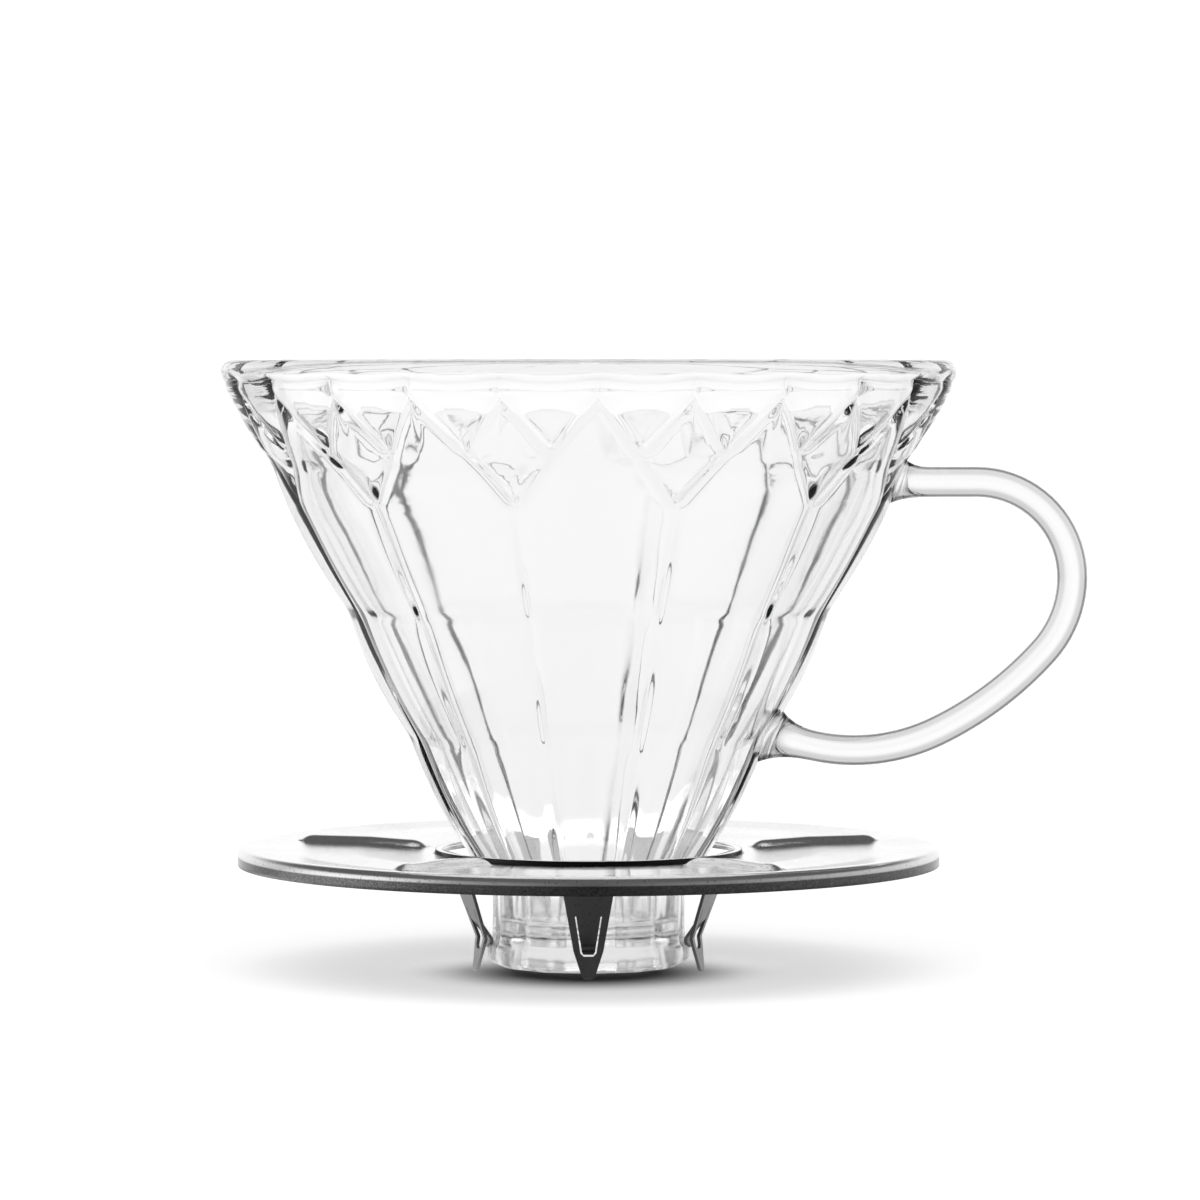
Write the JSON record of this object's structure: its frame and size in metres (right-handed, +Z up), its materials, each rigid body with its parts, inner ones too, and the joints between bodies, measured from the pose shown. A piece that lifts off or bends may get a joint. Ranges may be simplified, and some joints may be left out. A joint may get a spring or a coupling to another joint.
{
  "type": "pour over coffee dripper",
  "caption": "Fluted clear glass pour over cone with a bent glass rod handle, clipped into a round sprung steel holder that rests on a mug or server.",
  "frame": {"origin": "centre of the mouth of the glass outlet skirt, on the cone's axis, 0.4 mm above the claw tips it stands on", "axes": "+Z up along the cone's axis, +X towards the handle, -Y the front"},
  "size_m": [0.1369, 0.116, 0.0962],
  "materials": {
    "clear_glass": "clear polished borosilicate",
    "stainless_steel": "satin stamped sheet"
  },
  "bodies": {
    "holder": {"holder_plate": "stainless_steel", "claw_1": "stainless_steel", "claw_2": "stainless_steel", "claw_3": "stainless_steel", "claw_4": "stainless_steel", "claw_5": "stainless_steel"},
    "glass": {"glass_cone": "clear_glass", "handle_rod": "clear_glass"},
    "tongue_1": {"spring_tongue_1": "stainless_steel"},
    "tongue_2": {"spring_tongue_2": "stainless_steel"},
    "tongue_3": {"spring_tongue_3": "stainless_steel"},
    "tongue_4": {"spring_tongue_4": "stainless_steel"},
    "tongue_5": {"spring_tongue_5": "stainless_steel"}
  },
  "joints": [
    {"name": "glass_lift", "type": "slide", "parent": "holder", "child": "glass", "axis": [0, 0, 1], "range_m": [0, 0.03]},
    {"name": "tongue_1_flex", "type": "hinge", "parent": "holder", "child": "tongue_1", "pos_m": [0, -0.01957, 0.0095], "axis": [-1, 0, 0], "range_deg": [0, 5], "stiffness_Nm_per_rad": 0.05},
    {"name": "tongue_2_flex", "type": "hinge", "parent": "holder", "child": "tongue_2", "pos_m": [0.01861, -0.00605, 0.0095], "axis": [-0.309, -0.9511, 0], "range_deg": [0, 5], "stiffness_Nm_per_rad": 0.05},
    {"name": "tongue_3_flex", "type": "hinge", "parent": "holder", "child": "tongue_3", "pos_m": [0.0115, 0.01583, 0.0095], "axis": [0.809, -0.5878, 0], "range_deg": [0, 5], "stiffness_Nm_per_rad": 0.05},
    {"name": "tongue_4_flex", "type": "hinge", "parent": "holder", "child": "tongue_4", "pos_m": [-0.0115, 0.01583, 0.0095], "axis": [0.809, 0.5878, 0], "range_deg": [0, 5], "stiffness_Nm_per_rad": 0.05},
    {"name": "tongue_5_flex", "type": "hinge", "parent": "holder", "child": "tongue_5", "pos_m": [-0.01861, -0.00605, 0.0095], "axis": [-0.309, 0.9511, 0], "range_deg": [0, 5], "stiffness_Nm_per_rad": 0.05}
  ]
}
